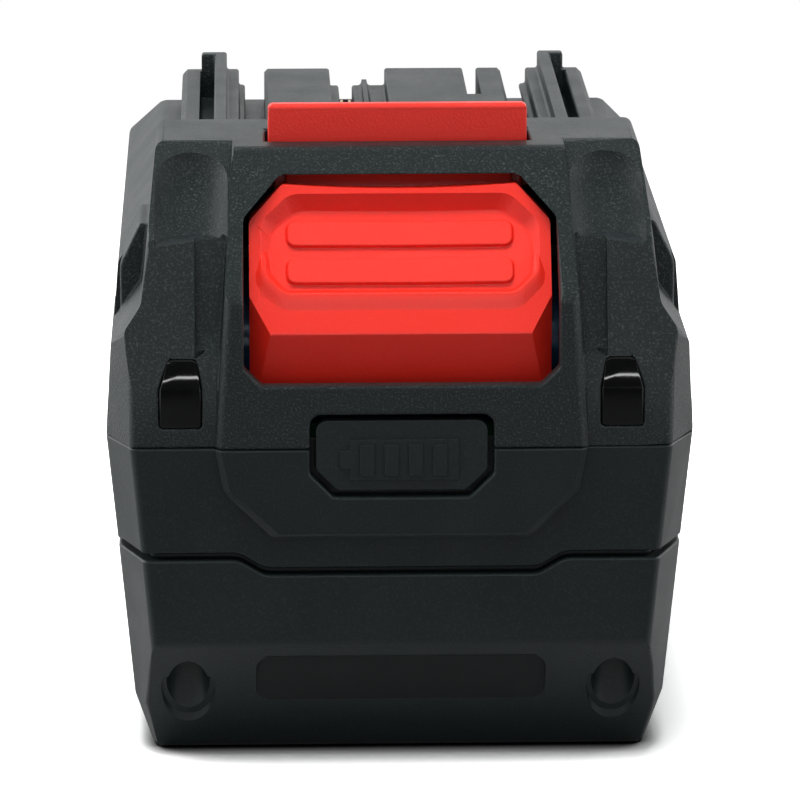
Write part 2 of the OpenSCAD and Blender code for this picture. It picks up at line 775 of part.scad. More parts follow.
module release_latch() {
    neck_half = button_w / 2 - thumb_bevel - 0.4;
    neck_y1 = wing_y0 - 2;
    arm_half = catch_w / 2 - 0.8;
    arm_y0 = deck_y0 + 2;
    catch_top = deck_h + catch_h;
    color(latch_red) {
        thumb_cap();
        for (down = bar_downs) grip_bar(down);
        across([[latch_back - 0.2, latch_top - 6.5], [neck_y1, latch_top - 6.5], [neck_y1, arm_top - 0.6],
            [deck_y0 + 1.4, arm_top - 0.6], [deck_y0 - 0.4, latch_top - 2.2],
            [latch_back + 0.9, latch_top - 2.2]], -neck_half, neck_half);
        translate([0, 0, arm_low]) linear_extrude(arm_t) polygon([[-arm_half, arm_y0], [arm_half, arm_y0],
            [arm_half, wing_y0], [wing_half, wing_y0], [wing_half, arm_y1], [-wing_half, arm_y1],
            [-wing_half, wing_y0], [-arm_half, wing_y0]]);
        intersection() {
            across(rounded([[catch_y, arm_top - 1], [catch_y, catch_top], [catch_y + catch_crown, catch_top],
                [catch_y + catch_l, deck_h + 0.4], [catch_y + catch_l, arm_top - 1]], [0, 0.6, 0.6, 0.5, 0]),
                -catch_w / 2, catch_w / 2);
            along(rounded([[-catch_w / 2, arm_low], [catch_w / 2, arm_low], [catch_w / 2, catch_top],
                [-catch_w / 2, catch_top]], [0, 0, 0.9, 0.9]), yf, yr);
        }
        for (x = [-spring_x, spring_x])
            translate([x, spring_y, arm_low - 1.5]) cylinder(r = spring_post_r, h = 2);
    }
}

// Centre line of a latch spring, with flat closed ends
spring_low = board_z + spring_wire / 2 + 0.05;
spring_high = arm_low - spring_wire / 2 - 0.05;
spring_path = [for (i = [0 : spring_turns * 8]) let (t = i / (spring_turns * 8))
    [spring_r * cos(i * 45), spring_r * sin(i * 45), spring_low + (spring_high - spring_low) * t]];
spring_steps = [for (i = [0 : len(spring_path) - 9]) norm(spring_path[i + 8] - spring_path[i])];
spring_gap = min(spring_steps) - spring_wire;
echo(least_gap_between_spring_turns = spring_gap);

// Tube of six sides swept along a helix round Z
module helix_tube(path, r) {
    n = len(path);
    rise = (path[n - 1].z - path[0].z) / (n - 1);
    ring = [for (i = [0 : n - 1]) for (k = [0 : 5])
        let (out = [path[i].x, path[i].y, 0] / norm([path[i].x, path[i].y]))
        let (run = [-out.y, out.x, rise / (spring_r * PI / 4)], up = cross(out, run) / norm(run))
        path[i] + r * (cos(k * 60) * out + sin(k * 60) * up)];
    sides = [for (i = [0 : n - 2]) for (k = [0 : 5]) let (a = i * 6 + k, b = i * 6 + (k + 1) % 6)
        each [[a, a + 6, b + 6], [a, b + 6, b]]];
    start = [for (k = [1 : 4]) [0, k, k + 1]];
    end = [for (k = [1 : 4]) [n * 6 - 6, n * 6 - 5 + k, n * 6 - 6 + k]];
    polyhedron(ring, concat(start, end, sides));
}

module latch_spring(side) {
    color("silver") translate([side * spring_x, spring_y, 0]) helix_tube(spring_path, spring_wire / 2);
}

module gauge_button() {
    flange_y0 = panel_inner + 0.3;
    flange_y1 = panel_inner + 1.1;
    flange_top = part_h + 0.9;
    flange_half = gauge_w / 2 + 1.6;
    color(case_black) {
        difference() {
            along(gauge_outline(gauge_gap), gauge_face, flange_y1);
            box([-gauge_w, gauge_back, flange_top], [gauge_w, yf + 9, deck_h]);
        }
        box([-flange_half, flange_y0, gauge_z - gauge_h / 2 - 1.4], [flange_half, flange_y1, flange_top]);
        translate([0, flange_y1 - eps, stem_z]) rotate([-90, 0, 0])
            cylinder(r = 1.6, h = plunger_y - flange_y1 + eps);
    }
}

module switch_plunger() {
    color("dimgray") translate([0, plunger_y, stem_z]) rotate([-90, 0, 0])
        cylinder(r = plunger_r, h = plunger_l);
}

module gauge_switch() {
    half = 2.3;
    color("gray") difference() {
        box([-half, switch_front, stem_z - half], [half, gauge_board_y, stem_z + half]);
        translate([0, switch_front - 1, stem_z]) rotate([-90, 0, 0])
            cylinder(r = plunger_r + 0.3, h = gauge_board_y - switch_front + 0.7);
    }
}

module gauge_board() {
    color("darkgreen") difference() {
        box([-gauge_board_half, gauge_board_y, gauge_board_z0],
            [gauge_board_half, gauge_board_y + gauge_board_t, gauge_board_z1]);
        for (x = [-post_x, post_x]) translate([x, gauge_board_y - 1, post_z]) rotate([-90, 0, 0])
            cylinder(r = small_screw_r + 0.15, h = gauge_board_t + 2);
    }
}

module gauge_lamps() {
    color("white") for (i = [0 : 3])
        translate([lamp_x0 + i * lamp_pitch, gauge_board_y - lamp_t, gauge_z - 0.4])
            box([-0.8, 0, -0.6], [0.8, lamp_t, 0.6]);
}

module corner_insert() {
    color("#0c0d0e") insert_band(0, insert_t, 0);
}

// Middle of the cell in column c, and in layer r
function cell_y(c) = yf + wall + front_bay + cell_r + c * (cell_d + cell_gap);
function cell_z(r) = cell_bed + cell_r + r * (cell_d + cell_gap);
function between_y(c) = cell_y(c) + (cell_d + cell_gap) / 2;

// One cell along X: steel can with its rolled groove and its raised cap at the +X end
module round_cell() {
    half = cell_len / 2;
    rotate([0, 90, 0]) rotate_extrude() polygon([[0, -half], [cell_r - 0.6, -half], [cell_r, -half + 0.6],
        [cell_r, half - 4.6], [cell_r - 0.6, half - 4], [cell_r - 0.6, half - 3.4], [cell_r, half - 2.8],
        [cell_r, half - 0.9], [cell_r - 0.5, half - 0.4], [cap_r + 0.5, half - 0.4],
        [cap_r, half], [0, half]]);
}

module cell(r, c) {
    color(c % 2 == 0 ? "#2f6f9f" : "#357aad") translate([0, cell_y(c), cell_z(r)])
        rotate([0, 0, c % 2 == 0 ? 0 : 180]) round_cell();
}

module cell_holder() {
    low = holder_z0;
    color("#3a3d40") difference() {
        union() {
            across(rounded([[holder_y0, low], [holder_y1, low], [holder_y1, board_z], [holder_y0, board_z]],
                [2, 1, 1, 2]), holder_x0, cell_len / 2);
            translate([spring_x, spring_y, board_z - 1]) cylinder(r = spring_post_r, h = 3.4);
        }
        for (r = [0 : cell_rows - 1], c = [0 : cell_cols - 1])
            translate([holder_x0 - 1, cell_y(c), cell_z(r)]) rotate([0, 90, 0])
                cylinder(r = cell_r + pocket_clear, h = holder_depth + 2);
        for (c = board_screw_gaps) translate([board_screw_x, between_y(c), board_z - board_screw_l])
            cylinder(r = board_screw_r + 0.05, h = board_screw_l + 1);
    }
}

// Bus strip over columns c0 to c1, with weld slits and a lead that turns in over the board
module bus_strip(c0, c1, run) {
    x0 = cell_len / 2;
    x1 = x0 + strip_t;
    y_tab = cell_y(c1) + cell_r * 0.4;
    z1 = cell_z(cell_rows - 1) + strip_rise;
    color("gainsboro") {
        difference() {
            across(rounded([[cell_y(c0) - strip_reach, cell_z(0) - strip_reach],
                [cell_y(c1) + strip_reach, cell_z(0) - strip_reach], [cell_y(c1) + strip_reach, z1],
                [cell_y(c0) - strip_reach, z1]], [2, 2, 2, 2]), x0, x1);
            for (r = [0 : cell_rows - 1], c = [c0 : c1])
                box([x0 - 1, cell_y(c) - 0.4, cell_z(r) - 2], [x1 + 1, cell_y(c) + 0.4, cell_z(r) + 2]);
        }
        box([x0, y_tab - tab_w / 2, z1 - 3], [x1, y_tab + tab_w / 2, board_top + strip_t]);
        box([x1 - tab_w, y_tab - tab_w / 2, board_top], [x1, y_tab + tab_w / 2 + run, board_top + strip_t]);
        box([board_half - 2, y_tab - tab_w / 2 + run, board_top],
            [x1, y_tab + tab_w / 2 + run, board_top + strip_t]);
    }
}

module insulation() {
    x0 = cell_len / 2 + strip_t + 0.1;
    top = cell_z(cell_rows - 1) + strip_rise + 0.4;
    color("#3f7f73") across(rounded([[holder_y0 + 1, holder_z0 + 1], [holder_y1 - 1, holder_z0 + 1],
        [holder_y1 - 1, top], [holder_y0 + 1, top]], [3, 3, 3, 3]), x0, x0 + sheet_t);
}

module foam_pads() {
    color("#4a4a48") for (x = [-16, 16])
        box([x - 4, holder_y0 + 3, wall], [x + 4, holder_y1 - 3, cell_bed - 0.05]);
}

module protection_board() {
    color("darkgreen") difference() {
        translate([0, 0, board_z]) linear_extrude(board_t) polygon([[-board_nose, board_y0],
            [board_nose, board_y0], [board_nose, board_neck_y], [board_half, board_neck_y],
            [board_half, board_y1], [-board_half, board_y1], [-board_half, board_neck_y],
            [-board_nose, board_neck_y]]);
        for (x = [-board_screw_x, board_screw_x], c = board_screw_gaps)
            translate([x, between_y(c), board_z - 1]) cylinder(r = board_screw_r + 0.2, h = board_t + 2);
    }
}

module power_transistors() {
    color("#1b1c1e") for (x = [-13.5, -4.5, 4.5, 13.5])
        box([x - 3, deck_y1 + 14, board_top], [x + 3, deck_y1 + 21, board_top + chip_t]);
}

module controller_chip() {
    color("#1b1c1e") box([-4, deck_y1 - 2, board_top], [4, deck_y1 + 6, board_top + 1.2]);
}

module current_shunt() {
    color("#9a6b3a") box([9, deck_y1 - 1, board_top], [18, deck_y1 + 3, board_top + 1.1]);
}

module board_capacitors() {
    color("#b89b72") for (x = [-17 : 3 : -8], y = [0, 4])
        box([x - 0.8, deck_y1 + y - 1.1, board_top], [x + 0.8, deck_y1 + y + 1.1, board_top + 1]);
}

// Bead in the valley between two upper cells, with its leads up to the board
module thermistor() {
    pitch = (cell_d + cell_gap) / 2;
    reach = cell_r + bead_r + 0.1;
    z = cell_z(cell_rows - 1) + sqrt(reach * reach - pitch * pitch);
    color("#2a1d16") translate([0, between_y(1), z]) {
        translate([-2.2, 0, 0]) rotate([0, 90, 0]) cylinder(r = bead_r, h = 4.4);
        for (x = [-1.2, 1.2]) translate([x, 0, 0]) cylinder(r = 0.3, h = board_z - z);
    }
}

// Fork contact that stands on the board and takes a tool blade from the rear
module contact(i) {
    half = contact_t / 2;
    leaf = 0.4;
    x = contact_x[i];
    top = (i < 2 ? block_top : block_top - 2.6) - 1.8;
    y0 = block_y1 - contact_l;
    y1 = block_y1 - 2;
    color("#c98f4a") difference() {
        across([[y0, board_top], [y1 - 6, board_top], [y1 - 4, roof_z + 0.8], [y1, roof_z + 1.6],
            [y1, top - 0.6], [y1 - 0.6, top], [y0 + 3, top], [y0, roof_z + 1]], x - half, x + half);
        box([x - half + leaf, y0 - 1, roof_z + 0.6], [x + half - leaf, y1 + 1, top + 1]);
    }
}

module case_screws() {
    color("silver") at_screws() difference() {
        union() {
            translate([0, 0, well_top - head_t]) cylinder(r = head_r, h = head_t);
            translate([0, 0, well_top - eps]) cylinder(r = screw_r, h = part_h + pilot_depth - 1 - well_top);
        }
        translate([0, 0, well_top - head_t - 1]) cylinder(r = 1.3, h = 2.2, $fn = 6);
    }
}

module board_screws() {
    color("silver") {
        for (x = [-board_screw_x, board_screw_x], c = board_screw_gaps) translate([x, between_y(c), 0]) {
            translate([0, 0, board_top]) cylinder(r = 1.8, h = 1);
            translate([0, 0, board_top - board_t - board_screw_l + 0.5])
                cylinder(r = board_screw_r, h = board_t + board_screw_l - 0.4);
        }
        for (x = [-post_x, post_x])
            translate([x, gauge_board_y + gauge_board_t, post_z]) rotate([-90, 0, 0]) {
                cylinder(r = 1.5, h = 1);
                translate([0, 0, -gauge_board_t - pilot_l + 0.5])
                    cylinder(r = small_screw_r, h = gauge_board_t + pilot_l);
            }
    }
}

bottom_tray();
middle_case();
top_cover();
release_latch();
latch_spring(-1);  // latch_spring_left
latch_spring(1);  // latch_spring_right
gauge_button();
gauge_board();
gauge_lamps();
gauge_switch();
switch_plunger();
mirror([1, 0, 0]) corner_insert();  // corner_insert_left
corner_insert();  // corner_insert_right
mirror([1, 0, 0]) cell_holder();  // cell_holder_left
cell_holder();  // cell_holder_right
mirror([1, 0, 0]) insulation();  // insulation_left
insulation();  // insulation_right
foam_pads();
protection_board();
power_transistors();
controller_chip();
current_shunt();
board_capacitors();
thermistor();
case_screws();
board_screws();
mirror([1, 0, 0]) bus_strip(0, 0, lead_run);  // bus_strip_left_front
mirror([1, 0, 0]) bus_strip(1, 2, 0);  // bus_strip_left_middle
mirror([1, 0, 0]) bus_strip(3, 4, 0);  // bus_strip_left_rear
bus_strip(0, 1, 0);  // bus_strip_right_front
bus_strip(2, 3, 0);  // bus_strip_right_middle
bus_strip(4, 4, 0);  // bus_strip_right_rear
for (i = [0 : len(contact_names) - 1]) contact(i);
for (r = [0 : cell_rows - 1], c = [0 : cell_cols - 1])
    cell(r, c);
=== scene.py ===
"""Looks of a slide-on battery pack for tools: rounded mouldings, battery icon, finishes and stage."""

import json
import math

import bmesh
import bpy
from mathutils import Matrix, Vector
from mathutils.bvhtree import BVHTree
from mathutils.kdtree import KDTree


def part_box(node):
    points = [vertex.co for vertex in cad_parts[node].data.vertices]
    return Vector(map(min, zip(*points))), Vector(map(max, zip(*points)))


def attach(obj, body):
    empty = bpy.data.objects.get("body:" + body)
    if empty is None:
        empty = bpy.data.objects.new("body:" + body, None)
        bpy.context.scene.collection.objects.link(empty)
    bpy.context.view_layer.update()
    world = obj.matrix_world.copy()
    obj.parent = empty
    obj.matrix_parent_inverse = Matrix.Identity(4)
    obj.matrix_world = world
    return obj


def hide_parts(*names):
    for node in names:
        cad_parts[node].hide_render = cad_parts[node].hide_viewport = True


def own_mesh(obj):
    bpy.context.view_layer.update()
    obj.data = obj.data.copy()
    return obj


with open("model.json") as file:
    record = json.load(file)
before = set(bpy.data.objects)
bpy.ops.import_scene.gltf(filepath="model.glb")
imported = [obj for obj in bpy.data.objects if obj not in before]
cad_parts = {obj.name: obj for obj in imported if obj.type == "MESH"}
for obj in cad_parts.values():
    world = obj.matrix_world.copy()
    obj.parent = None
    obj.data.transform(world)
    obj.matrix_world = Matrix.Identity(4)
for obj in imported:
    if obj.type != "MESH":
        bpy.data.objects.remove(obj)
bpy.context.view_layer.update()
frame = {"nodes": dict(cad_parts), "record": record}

MM = 0.001
WELLS = [(x * MM, y * MM) for x in (-29.1, 29.1) for y in (-53.8, 54.2)]
WELL_REACH = 5.5 * MM
SOFT_ANGLES = (20, 60)
EDGE_ANGLES = (24, 180)
SEGMENTS = 4

bl_info = {
    "name": "Battery pack looks",
    "version": (1, 0, 0),
    "blender": (4, 5, 0),
    "location": "View3D > Sidebar > Battery pack",
    "description": "Rounds the mouldings of a tool battery pack and gives each part its finish",
    "category": "Object",
}


class PackColours(bpy.types.PropertyGroup):
    case: bpy.props.StringProperty(
        name="Case", description="Colour of the moulded case", default="#182021")
    latch: bpy.props.StringProperty(
        name="Latch", description="Colour of the release latch", default="#fb2c1e")
    insert: bpy.props.StringProperty(
        name="Inserts", description="Colour of the corner inserts", default="#030404")
    sleeve: bpy.props.StringProperty(
        name="Sleeves", description="Colour of the cells' sleeves", default="#2b6c9c")
    resist: bpy.props.StringProperty(
        name="Boards", description="Colour of the solder resist", default="#14512c")


class PackEdges(bpy.types.PropertyGroup):
    case_radius: bpy.props.FloatProperty(
        name="Case edges", description="Rounding of the case's edges", default=0.4 * MM,
        unit="LENGTH", precision=5)
    soft_radius: bpy.props.FloatProperty(
        name="Soft edges", description="Rounding of the case's blunt edges", default=0.8 * MM,
        unit="LENGTH", precision=5)
    foot_radius: bpy.props.FloatProperty(
        name="Foot edge", description="Rounding of the tray's lowest edge", default=0.9 * MM,
        unit="LENGTH", precision=5)
    latch_soft: bpy.props.FloatProperty(
        name="Latch facets", description="Rounding of the latch's blunt edges", default=1.1 * MM,
        unit="LENGTH", precision=5)
    lip_rise: bpy.props.FloatProperty(
        name="Thumb lip", description="Height of the border at the foot of the thumb field",
        default=0.45 * MM, unit="LENGTH", precision=5)
    latch_radius: bpy.props.FloatProperty(
        name="Latch edges", description="Rounding of the latch's edges", default=0.3 * MM,
        unit="LENGTH", precision=5)
    small_radius: bpy.props.FloatProperty(
        name="Small edges", description="Rounding of the gauge and the inserts", default=0.2 * MM,
        unit="LENGTH", precision=5)
    grain: bpy.props.FloatProperty(
        name="Grain", description="Width of one grain of the moulded texture", default=0.3 * MM,
        unit="LENGTH", precision=5)


class PackIcon(bpy.types.PropertyGroup):
    width: bpy.props.FloatProperty(
        name="Width", description="Width of the battery icon", default=14.8 * MM,
        unit="LENGTH", precision=5)
    height: bpy.props.FloatProperty(
        name="Height", description="Height of the battery icon", default=5.7 * MM,
        unit="LENGTH", precision=5)
    rise: bpy.props.FloatProperty(
        name="Rise", description="How far each layer of the icon stands up", default=0.34 * MM,
        unit="LENGTH", precision=5)
    bars: bpy.props.IntProperty(name="Bars", description="Number of bars in the icon", default=4)
    bar_width: bpy.props.FloatProperty(
        name="Bar width", description="Width of one bar", default=2.0 * MM, unit="LENGTH", precision=5)
    bar_height: bpy.props.FloatProperty(
        name="Bar height", description="Height of one bar", default=4.4 * MM, unit="LENGTH", precision=5)
    pitch: bpy.props.FloatProperty(
        name="Pitch", description="Distance from one bar to the next", default=3.27 * MM,
        unit="LENGTH", precision=5)


class PackStage(bpy.types.PropertyGroup):
    ambient: bpy.props.FloatProperty(
        name="Room light", description="Light from all round", default=0.39)
    front: bpy.props.FloatProperty(
        name="Front", description="Brightness of the room in front", default=0.08)
    key: bpy.props.FloatProperty(
        name="Top light", description="Power of the light above the pack", default=6.6, subtype="POWER")
    side: bpy.props.FloatProperty(
        name="Side light", description="Power of the light at the left; the right one has 0.4 of it",
        default=4.0, subtype="POWER")
    strip: bpy.props.FloatProperty(
        name="Strip lights", description="Power of each strip in front, which draw the edges",
        default=1.25, subtype="POWER")
    lens: bpy.props.FloatProperty(
        name="Lens", description="Focal length of the camera in mm", default=256.95)


def linear(code):
    """Linear colour of an sRGB hex value."""
    values = [int(code[i:i + 2], 16) / 255 for i in (1, 3, 5)]
    return tuple(v / 12.92 if v <= 0.04045 else ((v + 0.055) / 1.055) ** 2.4 for v in values) + (1.0,)


def add(tree, kind, inputs=None, **options):
    """Adds a node with its options; an input takes a value, or the socket that it is linked to."""
    made = tree.nodes.new(kind)
    for name, value in options.items():
        setattr(made, name, value)
    for name, value in (inputs or {}).items():
        if isinstance(value, bpy.types.NodeSocket):
            tree.links.new(value, made.inputs[name])
        else:
            made.inputs[name].default_value = value
    return made


def calc(tree, operation, *values):
    """Output of a node that works on numbers."""
    return add(tree, "ShaderNodeMath", dict(enumerate(values)), operation=operation).outputs[0]


def calc_vector(tree, operation, *values):
    """Output of a node that works on vectors; a length comes out as a number."""
    made = add(tree, "ShaderNodeVectorMath", dict(enumerate(values)), operation=operation)
    return made.outputs["Value" if operation == "LENGTH" else "Vector"]


def ramp(tree, value, source, target, kind="LINEAR"):
    """Carries a value from one range over to another, and no further than its ends."""
    return add(tree, "ShaderNodeMapRange", {
        "Value": value, "From Min": source[0], "From Max": source[1],
        "To Min": target[0], "To Max": target[1]}, interpolation_type=kind).outputs["Result"]


def new_material(name):
    """An empty node material and its tree."""
    material = bpy.data.materials.new(name)
    material.use_nodes = True
    material.node_tree.nodes.clear()
    return material, material.node_tree


def grained(name, code, fleck, roughness, grain, depth, metallic=0.0, specular=0.5,
            stretch=(1, 1, 1), sheen=0.08):
    """A surface with a base colour and paler flecks, a fine relief and a slow change of gloss."""
    patch = 8 * MM
    fleck_start, fleck_full = 0.52, 0.74
    material, tree = new_material(name)
    place = add(tree, "ShaderNodeTexCoord").outputs["Object"]
    drawn = add(tree, "ShaderNodeMapping", {"Vector": place, "Scale": stretch}).outputs["Vector"]
    fine = add(tree, "ShaderNodeTexNoise", {
        "Vector": drawn, "Scale": 1 / grain, "Detail": 3.0, "Roughness": 0.6}).outputs["Fac"]
    broad = add(tree, "ShaderNodeTexNoise", {
        "Vector": drawn, "Scale": 1 / patch, "Detail": 3.0}).outputs["Fac"]
    tint = add(tree, "ShaderNodeValToRGB", {"Fac": fine})
    tint.color_ramp.elements[0].position = fleck_start
    tint.color_ramp.elements[0].color = linear(code)
    tint.color_ramp.elements[1].position = fleck_full
    tint.color_ramp.elements[1].color = linear(fleck)
    gloss = ramp(tree, broad, (0.3, 0.7), (roughness - sheen / 2, roughness + sheen / 2))
    relief = add(tree, "ShaderNodeBump", {"Height": fine, "Strength": 1.0, "Distance": depth})
    skin = add(tree, "ShaderNodeBsdfPrincipled", {
        "Base Color": tint.outputs["Color"], "Roughness": gloss, "Metallic": metallic,
        "Specular IOR Level": specular, "Normal": relief.outputs["Normal"]})
    add(tree, "ShaderNodeOutputMaterial", {"Surface": skin.outputs["BSDF"]})
    return material


def satin_case(name, code, roughness, grain):
    """ABS from a finely etched tool: nearly one black, with a calm satin face."""
    return grained(name, code, "#223132", roughness, grain, 0.03 * MM, specular=0.36)


def zinc_plated(name):
    """Zinc plated steel: cool grey with a mild, cloudy shine."""
    return grained(name, "#a9adb0", "#c6cacc", 0.32, 0.6 * MM, 0.004 * MM, metallic=1.0)


def shade_and_dull_panel(material, code, roughness, middle, half, corner):
    """Makes a panel that faces the front, seen along Y, dull, and paints it darker there: painted shade in
    its recess.
    """
    tree = material.node_tree
    skin = next(node for node in tree.nodes if node.type == "BSDF_PRINCIPLED")
    colour, gloss = skin.inputs["Base Color"], skin.inputs["Roughness"]
    place = add(tree, "ShaderNodeTexCoord").outputs["Object"]
    flat = calc_vector(tree, "MULTIPLY", place, (1, 0, 1))
    reach = calc_vector(tree, "ABSOLUTE", calc_vector(tree, "SUBTRACT", flat, middle))
    past = calc_vector(tree, "MAXIMUM", calc_vector(tree, "SUBTRACT", reach, half), (0, 0, 0))
    inside = calc(tree, "LESS_THAN", calc_vector(tree, "LENGTH", past), corner)
    front = calc(tree, "LESS_THAN", add(tree, "ShaderNodeSeparateXYZ", {0: place}).outputs["Y"], 0.0)
    panel = calc(tree, "MULTIPLY", inside, front)
    # Painted shade: the panel's colour is darkened where the recess lies
    tint = add(tree, "ShaderNodeMix", {
        "Factor": panel, 6: colour.links[0].from_socket, 7: linear(code)}, data_type="RGBA").outputs[2]
    tree.links.new(tint, colour)
    dull = add(tree, "ShaderNodeMix", {
        "Factor": panel, 2: gloss.links[0].from_socket, 3: roughness}).outputs[0]
    tree.links.new(dull, gloss)


def cell_sleeve(code):
    """PVC sleeve shrunk on a steel can: glossy with faint ripples, and bare metal at both end faces."""
    sleeve_end = 32.0 * MM
    material, tree = new_material("pvc_sleeve_on_steel")
    place = add(tree, "ShaderNodeTexCoord").outputs["Object"]
    across = add(tree, "ShaderNodeSeparateXYZ", {"Vector": place}).outputs["X"]
    bare = calc(tree, "GREATER_THAN", calc(tree, "ABSOLUTE", across), sleeve_end)
    ripple = add(tree, "ShaderNodeTexNoise", {"Vector": place, "Scale": 1 / (5 * MM), "Detail": 2.0})
    relief = add(tree, "ShaderNodeBump", {"Height": ripple.outputs["Fac"], "Distance": 0.06 * MM})
    sleeve = add(tree, "ShaderNodeBsdfPrincipled", {
        "Base Color": linear(code), "Roughness": 0.22, "Normal": relief.outputs["Normal"]})
    brushed = add(tree, "ShaderNodeTexNoise", {"Vector": place, "Scale": 1 / (0.3 * MM), "Detail": 2.0})
    can = add(tree, "ShaderNodeBsdfPrincipled", {
        "Base Color": linear("#c9c7c1"), "Metallic": 1.0,
        "Roughness": ramp(tree, brushed.outputs["Fac"], (0, 1), (0.25, 0.45))})
    both = add(tree, "ShaderNodeMixShader", {0: bare, 1: sleeve.outputs[0], 2: can.outputs[0]})
    add(tree, "ShaderNodeOutputMaterial", {"Surface": both.outputs[0]})
    return material


def circuit_board(code):
    """Glass laminate under solder resist: satin, and paler where a copper track runs underneath."""
    copper_tint = 1.8
    material, tree = new_material("fr4_laminate")
    place = add(tree, "ShaderNodeTexCoord").outputs["Object"]
    tracks = add(tree, "ShaderNodeTexBrick", {
        "Vector": place, "Color1": (0, 0, 0, 1), "Color2": (0.15, 0.15, 0.15, 1), "Mortar": (1, 1, 1, 1),
        "Scale": 1.0, "Mortar Size": 0.35 * MM, "Brick Width": 7 * MM, "Row Height": 3.4 * MM})
    base = linear(code)
    tint = add(tree, "ShaderNodeValToRGB", {"Fac": tracks.outputs["Fac"]})
    tint.color_ramp.elements[0].color = base
    tint.color_ramp.elements[1].color = tuple(min(1, v * copper_tint) for v in base[:3]) + (1.0,)
    relief = add(tree, "ShaderNodeBump", {"Height": tracks.outputs["Fac"], "Distance": 0.03 * MM})
    skin = add(tree, "ShaderNodeBsdfPrincipled", {
        "Base Color": tint.outputs["Color"], "Roughness": 0.3, "Normal": relief.outputs["Normal"]})
    add(tree, "ShaderNodeOutputMaterial", {"Surface": skin.outputs["BSDF"]})
    return material


def paint(piece, material):
    """Gives a piece one material."""
    piece.data.materials.clear()
    piece.data.materials.append(material)


def link(name, mesh):
    """A new object in the scene."""
    piece = bpy.data.objects.new(name, mesh)
    bpy.context.scene.collection.objects.link(piece)
    return piece


def smooth(mesh, angle):
    """Shades each corner by the faces round it that lie within the angle, the larger ones counting more."""
    mesh.shade_smooth()
    limit = math.cos(math.radians(angle))
    around = [[] for _ in mesh.vertices]
    for face in mesh.polygons:
        for index in face.vertices:
            around[index].append(face)
    normals = []
    for face in mesh.polygons:
        for index in face.vertices:
            close = [other for other in around[index] if other.normal.dot(face.normal) > limit]
            normals.append(sum((other.normal * other.area for other in close), Vector()).normalized())
    mesh.normals_split_custom_set(normals)


def clearance(edge):
    """Narrowest way from the middle of an edge across the two faces that meet there."""
    widths = []
    for loop in edge.link_loops:
        start = loop.vert.co.lerp(loop.link_loop_next.vert.co, 0.5)
        along = (loop.link_loop_next.vert.co - loop.vert.co).normalized()
        inward = loop.face.normal.cross(along)
        for other in loop.face.edges:
            if other != edge:
                a, b = (v.co - start for v in other.verts)
                if (a.dot(along) > 0) != (b.dot(along) > 0):
                    part = a.dot(along) / (a - b).dot(along)
                    widths.append(a.lerp(b, part).dot(inward))
    return min((w for w in widths if w > 1e-7), default=0.0)


def bevel(work, edges, radius, segments):
    """Rounds edges of a mesh."""
    bmesh.ops.bevel(work, geom=edges, offset=radius, offset_type="OFFSET", segments=segments, profile=0.5,
                    affect="EDGES", clamp_overlap=False, loop_slide=True, material=-1)


def folds(work, surface, radius):
    """Spots where a rounded mesh strays from the surface it came from, turns over or overlaps itself."""
    stray = 0.45 * radius
    doubled = 1.8 * MM * MM
    spots = [v.co.copy() for v in work.verts if surface.find_nearest(v.co)[3] > stray]
    covered = {}
    for loops in work.calc_loop_triangles():
        a, b, c = (loop.vert.co for loop in loops)
        covered[loops[0].face] = covered.get(loops[0].face, 0.0) + (b - a).cross(c - a).length / 2
    for face in work.faces:
        centre = face.calc_center_median()
        normal, gap = surface.find_nearest(centre)[1::2]
        if gap < stray and face.normal.dot(normal) < 0.0:
            spots.append(centre)
        if covered[face] > face.calc_area() + doubled:
            spots.extend(v.co.copy() for v in face.verts)
    return spots


def rounded(base, radius, angles):
    """A copy of a mesh with edges in a range of angles rounded; one that would fold keeps its corner."""
    room, spread, samples = 2.1 * radius, 1.5 * radius, 8
    base.edges.index_update()
    surface = BVHTree.FromBMesh(base)
    least, most = (math.radians(angle) for angle in angles)
    left = {e.index for e in base.edges
            if e.is_manifold and least < e.calc_face_angle(0.0) < most and clearance(e) > room}
    while True:
        work = base.copy()
        work.edges.ensure_lookup_table()
        bevel(work, [work.edges[i] for i in left], radius, SEGMENTS)
        spots = folds(work, surface, radius)
        near = KDTree(len(spots))
        for i, spot in enumerate(spots):
            near.insert(spot, i)
        near.balance()
        base.edges.ensure_lookup_table()
        spoilt = {i for i in left if spots and min(
            near.find(base.edges[i].verts[0].co.lerp(base.edges[i].verts[1].co, t / samples))[2]
            for t in range(samples + 1)) < spread}
        if not spoilt:
            return work
        left -= spoilt
        work.free()


def rounded_copy(node, radius, soft=0.0, foot=0.0):
    """A merged copy of a CAD node with its edges rounded: blunt ones by soft, the lowest by foot."""
    base = bmesh.new()
    base.from_mesh(frame["nodes"][node].data)
    bmesh.ops.remove_doubles(base, verts=base.verts, dist=0.012 * MM)
    bmesh.ops.dissolve_limit(base, angle_limit=math.radians(0.6), verts=base.verts, edges=base.edges)
    if foot:
        low = [e for e in base.edges
               if all(v.co.z < 0.01 * MM for v in e.verts) and e.calc_face_angle(0.0) > 0.3
               and min(math.dist(v.co.xy, well) for v in e.verts for well in WELLS) > WELL_REACH]
        bevel(base, low, foot, SEGMENTS + 1)
    if soft:
        base = rounded(base, soft, SOFT_ANGLES)
    work = rounded(base, radius, EDGE_ANGLES)
    mesh = bpy.data.meshes.new(node + "_rounded")
    work.to_mesh(mesh)
    work.free()
    base.free()
    smooth(mesh, angle=30)
    return link(node + "_rounded", mesh)


